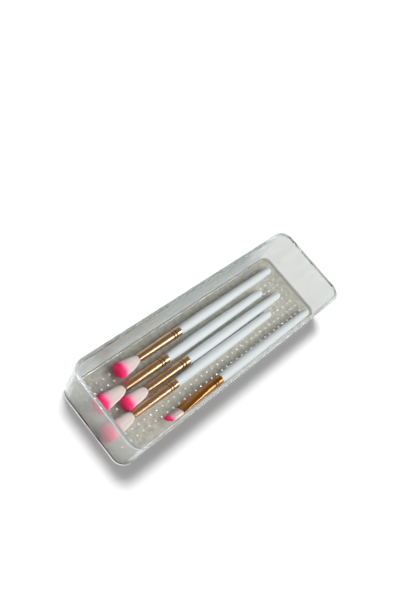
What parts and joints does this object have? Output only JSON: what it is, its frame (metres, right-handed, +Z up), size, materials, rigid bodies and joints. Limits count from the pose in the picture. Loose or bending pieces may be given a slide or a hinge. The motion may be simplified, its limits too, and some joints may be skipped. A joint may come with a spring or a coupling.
{
  "type": "make-up brush tray",
  "caption": "Open clear long tray with rounded corners and drafted walls, holding loose make-up brushes that lift straight out.",
  "frame": {"origin": "under the middle of the base, on the surface that the tray stands on", "axes": "+Z up out of the open top, +X along the tray towards the brushes' handle ends, +Y across it towards the long wall away from the flat brush"},
  "size_m": [0.25, 0.08, 0.044],
  "materials": {
    "clear_plastic": "clear moulded polystyrene, polished",
    "white_lacquer": "white gloss lacquer on turned wood",
    "copper_ferrule": "polished, copper-gold anodised",
    "pink_hair": "synthetic hair, white at the root and pink at the tip",
    "epoxy": "cured amber epoxy, hidden inside the ferrule"
  },
  "bodies": {
    "tray": {"tray": "clear_plastic"},
    "brush_1": {"brush_1_handle": "white_lacquer", "brush_1_ferrule": "copper_ferrule", "brush_1_hair": "pink_hair", "brush_1_glue_plug": "epoxy"},
    "brush_2": {"brush_2_handle": "white_lacquer", "brush_2_ferrule": "copper_ferrule", "brush_2_hair": "pink_hair", "brush_2_glue_plug": "epoxy"},
    "brush_3": {"brush_3_handle": "white_lacquer", "brush_3_ferrule": "copper_ferrule", "brush_3_hair": "pink_hair", "brush_3_glue_plug": "epoxy"},
    "brush_4": {"brush_4_handle": "white_lacquer", "brush_4_ferrule": "copper_ferrule", "brush_4_hair": "pink_hair", "brush_4_glue_plug": "epoxy"},
    "brush_5": {"brush_5_handle": "white_lacquer", "brush_5_ferrule": "copper_ferrule", "brush_5_hair": "pink_hair", "brush_5_glue_plug": "epoxy"}
  },
  "joints": [
    {"name": "brush_1_lift", "type": "slide", "parent": "tray", "child": "brush_1", "axis": [0, 0, 1], "range_m": [0, 0.06]},
    {"name": "brush_2_lift", "type": "slide", "parent": "tray", "child": "brush_2", "axis": [0, 0, 1], "range_m": [0, 0.06]},
    {"name": "brush_3_lift", "type": "slide", "parent": "tray", "child": "brush_3", "axis": [0, 0, 1], "range_m": [0, 0.06]},
    {"name": "brush_4_lift", "type": "slide", "parent": "tray", "child": "brush_4", "axis": [0, 0, 1], "range_m": [0, 0.06]},
    {"name": "brush_5_lift", "type": "slide", "parent": "tray", "child": "brush_5", "axis": [0, 0, 1], "range_m": [0, 0.06]}
  ]
}
